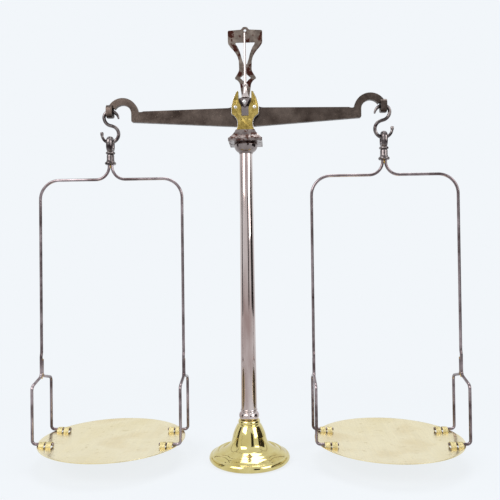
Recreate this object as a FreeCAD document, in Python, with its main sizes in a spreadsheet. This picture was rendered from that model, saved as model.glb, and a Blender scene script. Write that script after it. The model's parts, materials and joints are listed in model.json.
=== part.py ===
"""Column balance: turned foot and column, two-armed beam on knife edges, hooks, stirrups and pans.

Millimetres. +Z is up, +X is to the right, the origin is the centre of the foot's underside.
Every driving dimension is a cell of the sheet "Sizes"; expressions name the cells by alias.
"""
import FreeCAD, Part

import math
import os
import re
import Sketcher

SIZES = {
    # stand, from the table up
    "foot_radius": 55.5, "foot_rim": 10.0, "foot_height": 56.5, "foot_neck": 14.4,
    "foot_bell": 25.0, "foot_throat": 30.5, "foot_wall": 4.0, "foot_hollow_radius": 46.0,
    "bead_radius": 12.7, "bead_height": 14.5, "cove_radius": 11.3, "cove_height": 4.0,
    "column_foot_radius": 11.0, "column_top_radius": 8.9, "column_height": 352.0,
    "capital_foot_radius": 9.3, "capital_top_radius": 16.4, "capital_height": 14.3,
    "rod_radius": 4.0, "rod_grip": 34.0, "rod_gap": 0.1, "washer_radius": 9.0, "washer_thick": 1.6,
    "nut_across": 13.0, "nut_thick": 6.0, "stud_length": 24.0,
    # yoke and cheeks
    "yoke_width": 46.0, "yoke_depth": 50.0, "yoke_slab": 4.0, "yoke_height": 16.7,
    "yoke_top_width": 26.0, "yoke_top_depth": 34.0,
    "pivot_rise": 30.0, "arm_gap": 8.0, "arm_thick": 5.0, "plate_thick": 2.0, "plate_inset": 0.8,
    "tenon_half": 6.0, "tenon_deep": 8.0, "cheek_foot": 12.7, "cheek_waist": 10.8,
    "cheek_half": 19.0, "horn_height": 24.0, "notch_half": 8.8, "bearing_half": 4.75,
    "bearing_deep": 11.0, "bearing_lip": 1.5, "bearing_proud": 0.4,
    "rivet_place": 13.0, "rivet_radius": 2.0, "rivet_head": 2.6, "rivet_proud": 0.6,
    # index frame, heights above the pivot
    "index_thick": 2.2, "index_half": 24.4, "index_height": 121.8, "index_shoulder": 117.0,
    "index_hole": 2.0, "window_half": 13.6, "window_top": 100.0, "diamond_half": 8.0,
    "diamond_mid": 49.6,
    # beam, heights from the pivot
    "arm_length": 190.0, "beam_thick": 6.0, "beam_rise": 3.3, "beam_drop": 23.5,
    "beam_end_drop": 13.8, "neck_back": 18.0, "neck_inner": 12.5,
    "neck_outer": 22.3, "hub_height": 16.8, "knife_half": 7.4, "knife_height": 12.5,
    "knife_front": 16.5, "knife_back": 12.5, "knife_gap": 0.2,
    "tip_long": 8.5, "tip_wall": 3.5, "slot_room": 3.2,
    "slot_head": 2.3, "tip_slot_foot": 3.0, "tip_bar": 4.0, "end_knife_half": 2.6, "end_knife_height": 4.6,
    "end_knife_length": 13.0,
    "pointer_length": 92.2, "pointer_foot": 6.0, "pointer_root": 17.0, "needle_foot": 1.9,
    "needle_tip": 1.2, "pointer_pin": 2.0, "pointer_pin_deep": 3.0,
    # hooks and swivels
    "hang_gap": 0.3, "hook_wire": 4.8, "hook_height": 44.1, "hook_upper": 8.6,
    "hook_lower": 11.8, "hook_mouth": 12.05, "hook_tail": 3.0,
    "eye_room": 2.4, "eye_bar": 3.1, "eye_wide": 4.3, "eye_straight": 4.3, "bead_ring": 6.5,
    "bead_ring_half": 1.8, "shank_radius": 2.45, "shank_gap": 0.05, "head_radius": 4.2,
    "head_thick": 2.0, "head_gap": 0.15, "barrel_radius": 5.7, "barrel_length": 10.2,
    "barrel_roof": 4.5, "barrel_bore": 4.6, "flange_radius": 7.9, "flange_thick": 4.0,
    # stirrups and pans
    "wire": 4.0, "wire_gap": 0.1, "shoulder_drop": 20.65,
    "shoulder_bend": 27.0, "root_bend": 18.5, "fork_top": 117.0, "braze_length": 27.0,
    "fork_half": 34.0, "fork_slope": 8.0, "fork_bend": 7.0, "toe_bend": 5.0, "toe_length": 29.0,
    "pan_radius": 100.0, "pan_dish": 3.5, "pan_sheet": 1.0, "pan_clearance": 26.0,
    "bridge_inset": 14.0, "bridge_pitch": 9.5, "bridge_wide": 7.0, "bridge_room": 2.0,
    "bridge_thick": 0.9, "bridge_gap": 0.15,
}

# heights of the stack, as expressions of the sheet
BEAD_Z = "foot_height"
COLUMN_Z = "(foot_height + bead_height)"
CAPITAL_Z = "(foot_height + bead_height + column_height)"
YOKE_Z = "(foot_height + bead_height + column_height + capital_height)"
PIVOT_Z = f"({YOKE_Z} + yoke_height + pivot_rise)"
NECK_X = "(arm_length - neck_back)"
HOOK_Z = f"({PIVOT_Z} + hang_gap + hook_wire / 2)"
EYE_Z = f"({HOOK_Z} - hook_height)"
TIP_SLOT = "((hook_wire + slot_room) / 2)"
TIP_SLOT_TOP = "(hang_gap + hook_wire + slot_head)"
EYE_SLOT = "((hook_wire + eye_room) / 2)"
EYE_TOP = f"(hook_wire / 2 + hang_gap - {EYE_SLOT})"
BEAD_RING_MID = f"({EYE_TOP} - {EYE_SLOT} - eye_straight - 2 * eye_bar + 0.3)"
BARREL_TOP = f"({BEAD_RING_MID} - bead_ring_half - hang_gap)"
STIRRUP_Z = f"({EYE_Z} + {BARREL_TOP} - barrel_length - flange_thick)"
BRIDGE_HALF = "(wire + bridge_room)"
TOE_Z = "(pan_clearance + pan_dish + pan_sheet + wire_gap + wire / 2)"

doc = FreeCAD.newDocument("Balance")
sheet = doc.addObject("Spreadsheet::Sheet", "Sizes")
for row, (alias, number) in enumerate(SIZES.items(), 1):
    sheet.set(f"A{row}", alias)
    sheet.set(f"B{row}", str(number))
    sheet.setAlias(f"B{row}", alias)
doc.recompute()

subparts = []


def cells(expression):
    """Write the sheet's name before each alias of an expression."""
    return re.sub(r"[a-z_]+", lambda m: "Sizes." + m[0] if m[0] in SIZES else m[0], str(expression))


def size(expression):
    """The number that an expression of the sheet has now."""
    return float(sheet.evalExpression(cells(expression)))


def bind(thing, **properties):
    """Bind properties to expressions; a double underscore stands for a dot."""
    for name, expression in properties.items():
        thing.setExpression(name.replace("__", "."), cells(expression))


def vector(*expressions):
    return FreeCAD.Vector(*[size(expression) for expression in expressions])


def keep(thing, label, x="0", y="0", z="0"):
    """Name a finished sub-part, put it in its place and list it for export."""
    thing.Label = label
    bind(thing, Placement__Base__x=x, Placement__Base__y=y, Placement__Base__z=z)
    subparts.append(thing)
    return thing


def mirrored(half):
    """Close a half outline (x >= 0, from low to high) with its mirror image."""
    left = []
    for index in range(len(half) - 1, -1, -1):
        bend = half[index - 1][2:] if index else ()
        left.append((f"-({half[index][0]})", half[index][1]) + bend)
    return half[:-1] + [half[-1][:2]] + left


def draw_loop(sketch, loop):
    """Draw one closed loop of (x, y) or (x, y, radius) corners; a radius makes the next side an arc.

    A positive radius bulges to the right of the way round, a negative one to the left.
    """
    first = sketch.GeometryCount
    corners = [vector(corner[0], corner[1], 0) for corner in loop]
    count = len(loop)
    for index, corner in enumerate(loop):
        here, following = corners[index], corners[(index + 1) % count]
        if len(corner) == 2:
            sketch.addGeometry(Part.LineSegment(here, following))
            continue
        radius = size(corner[2])
        chord = following - here
        rise = abs(radius) - math.sqrt(max(radius ** 2 - chord.Length ** 2 / 4, 0))
        side = FreeCAD.Vector(chord.y, -chord.x, 0).normalize() * math.copysign(rise, radius)
        sketch.addGeometry(Part.Arc(here, (here + following) * 0.5 + side, following))
    starts = []
    for index, corner in enumerate(corners):
        at_start = (sketch.getPoint(first + index, 1) - corner).Length < 1e-6
        starts.append(1 if at_start else 2)
    for index in range(count):
        after = (index + 1) % count
        ends = (first + index, 3 - starts[index], first + after, starts[after])
        sketch.addConstraint(Sketcher.Constraint("Coincident", *ends))
    for index, corner in enumerate(loop):
        for kind, expression in (("DistanceX", corner[0]), ("DistanceY", corner[1])):
            where = (kind, -1, 1, first + index, starts[index], size(expression))
            number = sketch.addConstraint(Sketcher.Constraint(*where))
            sketch.setExpression(f"Constraints[{number}]", cells(expression))
        if len(corner) == 3:
            radius = abs(size(corner[2]))
            number = sketch.addConstraint(Sketcher.Constraint("Radius", first + index, radius))
            sketch.setExpression(f"Constraints[{number}]", f"abs({cells(corner[2])})")


def draw_circle(sketch, x, y, radius):
    centre = vector(x, y, 0)
    normal = FreeCAD.Vector(0, 0, 1)
    index = sketch.addGeometry(Part.Circle(centre, normal, size(radius)))
    for kind, expression in (("DistanceX", x), ("DistanceY", y)):
        where = (kind, -1, 1, index, 3, size(expression))
        number = sketch.addConstraint(Sketcher.Constraint(*where))
        sketch.setExpression(f"Constraints[{number}]", cells(expression))
    number = sketch.addConstraint(Sketcher.Constraint("Radius", index, size(radius)))
    sketch.setExpression(f"Constraints[{number}]", cells(radius))


def sketch_on(body, name, role, loops=(), circles=(), offset="0"):
    """A sketch on one of the body's own origin planes, moved along its normal by an offset."""
    sketch = body.newObject("Sketcher::SketchObject", name)
    plane = next(item for item in body.Origin.OriginFeatures if item.Role == role)
    sketch.AttachmentSupport = [(plane, "")]
    sketch.MapMode = "FlatFace"
    bind(sketch, AttachmentOffset__Base__z=offset)
    for loop in loops:
        draw_loop(sketch, loop)
    for circle in circles:
        draw_circle(sketch, *circle)
    return sketch


def pad(body, sketch, length, kind="PartDesign::Pad"):
    """A pad or pocket of a sketch, half its length to each side of the sketch."""
    feature = body.newObject(kind, sketch.Name + "_" + kind[12:].lower())
    feature.Profile = sketch
    bind(feature, Length=length)
    feature.Midplane = True
    return feature


def pocket(body, sketch, length):
    return pad(body, sketch, length, "PartDesign::Pocket")


def turned_body(label, loop):
    """A body whose half section (radius, height) is turned about the vertical axis."""
    body = doc.addObject("PartDesign::Body", label)
    section = sketch_on(body, label + "_section", "XZ_Plane", [loop])
    turning = body.newObject("PartDesign::Revolution", label + "_turning")
    turning.Profile = section
    turning.ReferenceAxis = (section, ["V_Axis"])
    turning.Angle = 360
    return body


def turned(label, loop, **place):
    """A turned sub-part in its place."""
    return keep(turned_body(label, loop), label, **place)


def plate(label, loops, thick, circles=(), **place):
    """A flat sub-part cut from plate, standing in the XZ plane."""
    body = doc.addObject("PartDesign::Body", label)
    face = sketch_on(body, label + "_face", "XZ_Plane", loops, circles)
    pad(body, face, thick)
    return keep(body, label, **place)


def bent_wire(points, bends, radius):
    """A round wire of straight runs through the points, with a tangent bend at each inner point."""
    edges = []
    start = points[0]
    for before, corner, after, bend in zip(points, points[1:], points[2:], bends):
        arriving = (corner - before).normalize()
        leaving = (after - corner).normalize()
        turn = arriving.getAngle(leaving)
        setback = bend * math.tan(turn / 2)
        begin = corner - arriving * setback
        end = corner + leaving * setback
        inward = (leaving - arriving).normalize()
        middle = corner + inward * (bend / math.cos(turn / 2) - bend)
        if (begin - start).Length > 1e-4:
            edges.append(Part.LineSegment(start, begin).toShape())
        edges.append(Part.Arc(begin, middle, end).toShape())
        start = end
    edges.append(Part.LineSegment(start, points[-1]).toShape())
    return sweep_round(edges, radius)


def sweep_round(edges, radius, wide=None):
    """Sweep a circle, or an ellipse that is wider along X, along tangent edges into a solid."""
    path = Part.Wire(edges)
    begin = edges[0].valueAt(edges[0].FirstParameter)
    heading = edges[0].tangentAt(edges[0].FirstParameter)
    section = Part.Ellipse(begin, wide, radius) if wide else Part.Circle(begin, heading, radius)
    ring = Part.Wire(section.toShape())
    return path.makePipeShell([ring], True, False)


def formed(label, shape, x="0", z="0"):
    """A sub-part whose shape comes straight from Part's functions."""
    thing = doc.addObject("Part::Feature", label)
    thing.Shape = shape
    return keep(thing, label, x=x, z=z)


def foot():
    """Turned brass foot: rolled rim, domed flange with a ring, bell-shaped neck, hollow below."""
    bore = "(rod_radius + rod_gap)"
    turned("foot", [
        ("foot_radius - 5", "0", "6"),
        ("foot_radius", "foot_rim / 2", "6"),
        ("foot_radius - 2.6", "foot_rim"),
        ("foot_radius - 4.6", "foot_rim + 0.6"),
        ("foot_radius - 5.6", "foot_rim + 1.8", "28"),
        ("foot_radius - 11.5", "foot_rim + 5.2"),
        ("foot_radius - 12.3", "foot_rim + 5.0", "30"),
        ("foot_radius - 18.5", "foot_rim + 7.6"),
        ("foot_radius - 19.3", "foot_rim + 7.4", "-22"),
        ("foot_bell", "foot_height - foot_throat", "-60"),
        ("foot_bell - 2.4", "foot_height - 21", "70"),
        ("foot_neck + 2.2", "foot_height - 7"),
        ("foot_neck + 0.6", "foot_height - 6.2"),
        ("foot_neck", "foot_height - 5.2", "4"),
        ("foot_neck - 0.6", "foot_height"),
        (bore, "foot_height"),
        (bore, "foot_height - foot_throat"),
        ("foot_bell - 3", "foot_height - foot_throat - foot_wall"),
        ("foot_hollow_radius", "foot_rim - foot_wall"),
        ("foot_hollow_radius", "0"),
    ])


def foot_fixings():
    """Washer and hexagon nut that pull the rod down inside the hollow foot."""
    seat = "(foot_height - foot_throat)"
    hole = "(rod_radius + rod_gap)"
    turned("foot_washer", [
        (hole, "-washer_thick"), ("washer_radius", "-washer_thick"),
        ("washer_radius", "0"), (hole, "0"),
    ], z=f"({seat} - foot_wall)")
    body = doc.addObject("PartDesign::Body", "foot_nut")
    corners = [(f"nut_across / sqrt(3) * {math.cos(math.pi * k / 3):.9f}",
                f"nut_across / sqrt(3) * {math.sin(math.pi * k / 3):.9f}") for k in range(6)]
    flats = sketch_on(body, "nut_flats", "XY_Plane", [corners], [("0", "0", "rod_radius + 0.02")])
    pad(body, flats, "nut_thick")
    keep(body, "foot_nut", z=f"({seat} - foot_wall - washer_thick - nut_thick / 2)")


def rods():
    """Screwed rod from the foot's nut up into the column, and the stud that holds the yoke."""
    for label, length, z in (
            ("tie_rod", "(2 + nut_thick + washer_thick + foot_wall + foot_throat + bead_height + rod_grip)",
             "(foot_height - foot_throat - foot_wall - washer_thick - nut_thick - 2)"),
            ("yoke_stud", "(stud_length + capital_height + yoke_slab)", f"({CAPITAL_Z} - stud_length)")):
        rod = doc.addObject("Part::Cylinder", label)
        bind(rod, Radius="rod_radius", Height=length)
        keep(rod, label, z=z)


def column():
    """Polished bead, tapered column and cup-shaped capital, bored for the rod and the stud."""
    bore = "(rod_radius + rod_gap)"
    turned("base_bead", [
        (bore, "0"), ("bead_radius - 1.6", "0", "6.5"),
        ("bead_radius - 1.2", "bead_height - cove_height", "-1.4"),
        ("cove_radius - 0.4", "bead_height - cove_height + 1.4", "1.6"),
        ("cove_radius - 0.3", "bead_height"), (bore, "bead_height"),
    ], z=BEAD_Z)
    turned("column", [
        (bore, "0"), ("column_foot_radius", "0"),
        ("column_top_radius", "column_height"), (bore, "column_height"),
        (bore, "column_height - stud_length - rod_gap"), ("0", "column_height - stud_length - rod_gap"),
        ("0", "rod_grip + rod_gap"), (bore, "rod_grip + rod_gap"),
    ], z=COLUMN_Z)
    turned("capital", [
        (bore, "0"), ("capital_foot_radius", "0", "-5"),
        ("capital_foot_radius + 0.9", "2.2", "11"),
        ("capital_top_radius", "capital_height - 2.4", "5"),
        ("capital_top_radius - 0.8", "capital_height"), (bore, "capital_height"),
    ], z=CAPITAL_Z)


def rectangle(half_x, half_y):
    return [(f"-({half_x})", f"-({half_y})"), (half_x, f"-({half_y})"),
            (half_x, half_y), (f"-({half_x})", half_y)]


def yoke():
    """Square abacus with a moulded top, bored for the stud, mortised for the two cheek arms."""
    body = doc.addObject("PartDesign::Body", "yoke")
    foot_plan = sketch_on(body, "yoke_slab_plan", "XY_Plane",
                          [rectangle("yoke_width / 2", "yoke_depth / 2")], offset="yoke_slab / 2")
    pad(body, foot_plan, "yoke_slab")
    sections = []
    for number, (share, height) in enumerate(((0.92, 0.0), (0.42, 0.42), (0.1, 0.8), (0.0, 1.0))):
        half_x = f"(yoke_top_width + (yoke_width - yoke_top_width) * {share}) / 2"
        half_y = f"(yoke_top_depth + (yoke_depth - yoke_top_depth) * {share}) / 2"
        z = f"yoke_slab + (yoke_height - yoke_slab) * {height}"
        sections.append(sketch_on(body, f"yoke_section_{number}", "XY_Plane",
                                  [rectangle(half_x, half_y)], offset=z))
    loft = body.newObject("PartDesign::AdditiveLoft", "yoke_moulding")
    loft.Profile = sections[0]
    loft.Sections = sections[1:]
    bore = sketch_on(body, "yoke_bore", "XY_Plane", circles=[("0", "0", "rod_radius + rod_gap")])
    pocket(body, bore, "2 * (yoke_slab + rod_gap)")
    for side, sign in (("front", "-1"), ("rear", "1")):
        middle = f"{sign} * (arm_gap + arm_thick / 2)"
        low, high = f"({middle}) - arm_thick / 2", f"({middle}) + arm_thick / 2"
        loop = [("-tenon_half", low), ("tenon_half", low), ("tenon_half", high), ("-tenon_half", high)]
        mortise = sketch_on(body, f"yoke_{side}_mortise", "XY_Plane", [loop], offset="yoke_height")
        pocket(body, mortise, "2 * tenon_deep")
    keep(body, "yoke", z=YOKE_Z)


def cheek_outline(inset):
    """Cheek seen from the front, from the pivot: waisted shank, two horns and the bearing's notch."""
    half = [
        (f"cheek_foot - {inset}", "-pivot_rise", "-24"),
        (f"cheek_waist - {inset}", "-pivot_rise + 8.5", "-13"),
        (f"cheek_half - 1.6 - {inset}", "-9.5", "4"),
        (f"cheek_half - {inset}", "-6"),
        (f"cheek_half - {inset}", "-1", "34"),
        (f"cheek_half - 2 - {inset}", "horn_height - 14", "18"),
        (f"cheek_half - 4.2 - {inset}", "horn_height - 8"),
        (f"notch_half + 3 - {inset}", f"horn_height - 1 - {inset}"),
        ("notch_half + 0.8", f"horn_height - {inset}"),
        ("notch_half", f"horn_height - 1.2 - {inset}"),
        ("notch_half", "10"),
        ("bearing_half", "0"),
        ("bearing_half", "-bearing_deep"),
    ]
    return mirrored(half)


def cheeks():
    """Front and rear steel arms with tenons, the brass face plate, bearings and rivets."""
    arm_y = "(arm_gap + arm_thick / 2)"
    for side, sign in (("front", "-"), ("rear", "")):
        body = doc.addObject("PartDesign::Body", f"{side}_cheek_arm")
        face = sketch_on(body, f"{side}_arm_face", "XZ_Plane", [cheek_outline("0")])
        pad(body, face, "arm_thick")
        tenon = [("-tenon_half", "-pivot_rise - tenon_deep"), ("tenon_half", "-pivot_rise - tenon_deep"),
                 ("tenon_half", "-pivot_rise + 1"), ("-tenon_half", "-pivot_rise + 1")]
        pad(body, sketch_on(body, f"{side}_tenon", "XZ_Plane", [tenon]), "arm_thick")
        holes = sketch_on(body, f"{side}_arm_holes", "XZ_Plane", circles=[
            ("-rivet_place", "1", "rivet_radius"), ("rivet_place", "1", "rivet_radius")])
        pocket(body, holes, "2 * arm_thick")
        keep(body, f"{side}_cheek_arm", y=f"{sign}{arm_y}", z=PIVOT_Z)

        skin = "plate_thick" if side == "front" else "index_thick"
        facing = "plate_thick" if side == "front" else "-bearing_proud"
        block_long = f"(arm_thick + 3 * bearing_proud + {facing})"
        notch = "((bearing_lip + knife_gap) * 1.2)"
        block = [("bearing_half", "-bearing_deep"), ("bearing_half", "bearing_lip"),
                 (notch, "bearing_lip"), ("0", "-knife_gap"), (f"-{notch}", "bearing_lip"),
                 ("-bearing_half", "bearing_lip"), ("-bearing_half", "-bearing_deep")]
        plate(f"{side}_bearing", [block], block_long,
              y=f"{sign}(arm_gap - 2 * bearing_proud + {block_long} / 2)", z=PIVOT_Z)
        rivets = []
        for number, place in enumerate(("-", "")):
            shank = doc.addObject("Part::Cylinder", f"{side}_rivet_shank_{number}")
            bind(shank, Radius="rivet_radius", Height=f"arm_thick + {skin}",
                 Placement__Base__x=f"{place}rivet_place")
            rivets.append(shank)
            for end, base in (("inner", "-rivet_proud"), ("outer", f"arm_thick + {skin}")):
                head = doc.addObject("Part::Cylinder", f"{side}_rivet_{end}_{number}")
                bind(head, Radius="rivet_head", Height="rivet_proud",
                     Placement__Base__x=f"{place}rivet_place", Placement__Base__z=base)
                rivets.append(head)
        pair = doc.addObject("Part::MultiFuse", f"{side}_cheek_rivets")
        pair.Shapes = rivets
        lean = 90 if side == "front" else -90
        pair.Placement.Rotation = FreeCAD.Rotation(FreeCAD.Vector(1, 0, 0), lean)
        keep(pair, f"{side}_cheek_rivets", y=f"{sign}arm_gap", z=f"{PIVOT_Z} + 1")
    plate("front_cheek_plate", [cheek_outline("plate_inset")], "plate_thick",
          [("-rivet_place", "1", "rivet_radius"), ("rivet_place", "1", "rivet_radius")],
          y="-(arm_gap + arm_thick + plate_thick / 2)", z=PIVOT_Z)


def index_frame():
    """Gabled index plate riveted behind the rear arm, with a tapered window and a diamond hole."""
    outline = mirrored([
        ("5", "-15"), ("rivet_place + 3.4", "-5"), ("rivet_place + 3.4", "5"),
        ("6.6", "16", "-30"), ("6.6", "31"), ("diamond_half - 0.5", "diamond_mid - 11", "-12"),
        ("diamond_half + 6.2", "diamond_mid - 1.5", "1.8"), ("diamond_half + 6.2", "diamond_mid + 1.2"),
        ("diamond_half + 2.6", "diamond_mid + 7", "-12"),
        ("window_half - 4.7", "diamond_mid + 14"), ("window_half - 4.4", "window_top - 26.5", "-40"),
        ("window_half - 2.7", "window_top - 20", "-50"),
        ("window_half + 1.1", "window_top - 13.3", "-60"), ("index_half - 4", "window_top - 6.7"),
        ("index_half - 0.4", "window_top - 1.4"), ("index_half", "window_top + 2"),
        ("index_half", "index_shoulder - 2", "2"), ("index_half - 2", "index_shoulder"),
        ("index_hole + 4.5", "index_height - 3.8", "-5"),
        ("index_hole + 1.6", "index_height - 1", "4.2"), ("0.4", "index_height"),
    ])
    window = mirrored([
        ("0.6", "window_top - 32"), ("2.6", "window_top - 30.5"), ("5.2", "window_top - 22.4", "-70"),
        ("6.8", "window_top - 15.9", "-60"), ("9.3", "window_top - 9.3", "-30"),
        ("window_half - 0.4", "window_top - 2.8"), ("window_half", "window_top"),
    ])
    diamond = [
        ("0", "diamond_mid - 8.6", "-30"), ("diamond_half", "diamond_mid", "-30"),
        ("0", "diamond_mid + 7.4", "-30"), ("-diamond_half", "diamond_mid", "-30"),
    ]
    rivet_holes = [("-rivet_place", "1", "rivet_radius"), ("rivet_place", "1", "rivet_radius")]
    plate("index_frame", [outline, window, diamond], "index_thick",
          rivet_holes + [("0", "index_shoulder", "index_hole")],
          y="(arm_gap + arm_thick + index_thick / 2)", z=PIVOT_Z)


def knife_loop(half, height, point_up):
    sign = "-" if point_up else ""
    return [("0", "0"), (half, f"{sign}({height})"), (f"-({half})", f"{sign}({height})")]


def beam():
    """Steel beam: deep taper plate, hub for the centre knife, swan necks with slotted tips."""
    body = doc.addObject("PartDesign::Body", "beam")
    low, top = "-2", "(neck_inner + neck_outer) / 2 - 2"
    right = [
        ("0", "-beam_drop"),
        (f"{NECK_X} - neck_inner - 1.5", "-beam_end_drop", "2.6"),
        (f"{NECK_X} - neck_inner", "-beam_end_drop + 2"),
        (f"{NECK_X} - neck_inner", low, "-neck_inner"),
        (NECK_X, f"{low} + neck_inner", "-neck_inner"),
        (f"{NECK_X} + neck_inner", low),
        ("arm_length - tip_long / 2 + 0.5", "-tip_slot_foot - tip_bar"),
        ("arm_length + tip_long / 2 - 0.5", "-tip_slot_foot - tip_bar"),
        (f"{NECK_X} + neck_outer", low, "neck_outer"),
        (NECK_X, f"{low} + neck_outer", "neck_outer"),
        (f"{NECK_X} - neck_outer + 0.1", "0.6", "-9"),
        (f"{NECK_X} - neck_outer - 7", "0.9"),
        ("25", "beam_rise - 0.4", "-16"),
        ("knife_half + 4.4", "knife_height - 2", "9"),
        ("knife_half + 1.6", "hub_height - 1.6", "3"),
        ("pointer_foot", "hub_height"),
    ]
    half = sketch_on(body, "beam_half", "XZ_Plane", [right + [("0", "hub_height")]])
    body_pad = pad(body, half, "beam_thick")
    wide = f"({TIP_SLOT} + tip_wall)"
    tip_loop = [(wide, "-tip_slot_foot - tip_bar + 3.5"), (wide, f"{TIP_SLOT_TOP} - 2", f"{wide} + 0.5"),
                ("0", f"{TIP_SLOT_TOP} + tip_bar", f"{wide} + 0.5"), (f"-{wide}", f"{TIP_SLOT_TOP} - 2"),
                (f"-{wide}", "-tip_slot_foot - tip_bar + 3.5", f"{wide} + 1.5"),
                ("0", "-tip_slot_foot - tip_bar", f"{wide} + 1.5")]
    tip = pad(body, sketch_on(body, "beam_tip", "YZ_Plane", [tip_loop], offset="arm_length"), "tip_long")
    slot = [(TIP_SLOT, "-tip_slot_foot"), (TIP_SLOT, f"{TIP_SLOT_TOP} - 3", f"{TIP_SLOT} + 0.2"),
            ("0", TIP_SLOT_TOP, f"{TIP_SLOT} + 0.2"), (f"-{TIP_SLOT}", f"{TIP_SLOT_TOP} - 3"),
            (f"-{TIP_SLOT}", "-tip_slot_foot")]
    slot_face = sketch_on(body, "beam_slot", "YZ_Plane", [slot], offset="arm_length")
    cut = pocket(body, slot_face, "tip_long + 6")
    seat = [(f"arm_length + {x}" if x[0] != "-" else f"arm_length {x}", y)
            for x, y in knife_loop("end_knife_half", "end_knife_height", True)]
    seat_cut = pocket(body, sketch_on(body, "beam_end_seat", "XZ_Plane", [seat]), "end_knife_length")
    mirror = body.newObject("PartDesign::Mirrored", "beam_other_arm")
    mirror.Originals = [body_pad, tip, cut, seat_cut]
    plane = next(item for item in body.Origin.OriginFeatures if item.Role == "YZ_Plane")
    mirror.MirrorPlane = (plane, [""])
    body.Tip = mirror
    hole = sketch_on(body, "beam_knife_seat", "XZ_Plane", [knife_loop("knife_half", "knife_height", False)])
    pocket(body, hole, "2 * beam_thick")
    pin = sketch_on(body, "beam_pointer_seat", "XY_Plane", circles=[("0", "0", "pointer_pin")],
                    offset="hub_height")
    pocket(body, pin, "2 * pointer_pin_deep")
    keep(body, "beam", z=PIVOT_Z)


def knives():
    """Hardened knives: a long one at the centre, edge down, and one in each tip, edge up."""
    plate("centre_knife", [knife_loop("knife_half", "knife_height", False)], "(knife_front + knife_back)",
          y="(knife_back - knife_front) / 2", z=PIVOT_Z)
    for side, sign in (("left", "-"), ("right", "")):
        plate(f"{side}_end_knife", [knife_loop("end_knife_half", "end_knife_height", True)],
              "end_knife_length", x=f"{sign}arm_length", z=PIVOT_Z)


def pointer():
    """Needle pointer with a flared root, pinned into the beam's hub."""
    turned("pointer", [
        ("0", "-pointer_pin_deep"), ("pointer_pin", "-pointer_pin_deep"), ("pointer_pin", "0"),
        ("pointer_foot - 0.4", "0"), ("pointer_foot", "0.8", "-26"),
        ("needle_foot + 0.7", "pointer_root"), ("needle_foot + 1.3", "pointer_root + 0.8", "1.2"),
        ("needle_foot + 1.3", "pointer_root + 2.8"), ("needle_foot", "pointer_root + 3.4"),
        ("needle_tip", "pointer_length - 1"), ("0", "pointer_length"),
    ], z=f"({PIVOT_Z} + hub_height)")


def hook_shape(outward):
    """S-hook in the XZ plane from its top centreline point; outward is +1 or -1 along X.

    The waist's radius and run follow from the two loops, the height and a plumb hang.
    """
    slope = math.radians(15)
    s, c = math.sin(slope), math.cos(slope)
    upper, lower, mouth = size("hook_upper"), size("hook_lower"), size("hook_mouth")
    across = lower * s + upper
    down = size("hook_height") - lower * (1 + c) - upper
    scale = (1 - s) * s - c * c
    waist = (across * s - down * c) / scale
    run = ((1 - s) * down - c * across) / scale

    def point(x, z):
        return FreeCAD.Vector(outward * x, 0, z)

    def arc(x, z, radius, *degrees):
        ends = [math.radians(d) for d in degrees]
        ends.insert(1, (ends[0] + ends[1]) / 2)
        return Part.Arc(*[point(x + radius * math.cos(a), z + radius * math.sin(a)) for a in ends]).toShape()

    cross = point(upper - waist * (1 - s), -upper - waist * c)
    turn_in = cross + point(-run * c, -run * s)
    tail = point(lower, -size("hook_height") + lower)
    edges = [
        arc(0, -mouth, mouth, 175, 90),
        arc(0, -upper, upper, 90, 0),
        arc(upper - waist, -upper, waist, 0, -75),
        Part.LineSegment(cross, turn_in).toShape(),
        arc(0, -size("hook_height") + lower, lower, 105, 270),
        arc(0, -size("hook_height") + lower, lower, 270, 360),
        Part.LineSegment(tail, tail + point(0, size("hook_tail"))).toShape(),
    ]
    return sweep_round(edges, size("hook_wire") / 2)


def swivel_eye(side, x):
    """Oval eye on a turned bead, with a shank peened over inside the barrel."""
    ring = size(f"{EYE_SLOT} + eye_bar")
    top, straight = size(EYE_TOP), size("eye_straight")

    def at(y, z):
        return FreeCAD.Vector(0, y, z)

    def arch(z, way):
        return Part.Arc(at(way * ring, z), at(0, z + way * ring), at(-way * ring, z)).toShape()

    def side_bar(y, start, end):
        return Part.LineSegment(at(y, start), at(y, end)).toShape()

    low = top - straight
    loop = doc.addObject("Part::Feature", f"{side}_eye_loop")
    loop.Shape = sweep_round([arch(top, 1), side_bar(-ring, top, low), arch(low, -1),
                              side_bar(ring, low, top)], size("eye_bar"), size("eye_wide"))
    head = f"({BARREL_TOP} - barrel_roof - head_gap - head_thick)"
    under, over = f"{BEAD_RING_MID} - bead_ring_half", f"{BEAD_RING_MID} + bead_ring_half"
    spindle = turned_body(f"{side}_eye_spindle", [
        ("0", head), ("head_radius - 0.6", head), ("head_radius", f"{head} + 0.6"),
        ("head_radius", f"{head} + head_thick"), ("shank_radius", f"{head} + head_thick"),
        ("shank_radius", under), ("bead_ring - 1.56", under, "bead_ring_half * 1.01"),
        ("bead_ring - 1.56", over), ("0", over),
    ])
    eye = doc.addObject("Part::MultiFuse", f"{side}_swivel_eye")
    eye.Shapes = [loop, spindle]
    keep(eye, f"{side}_swivel_eye", x=x, z=EYE_Z)


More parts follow.
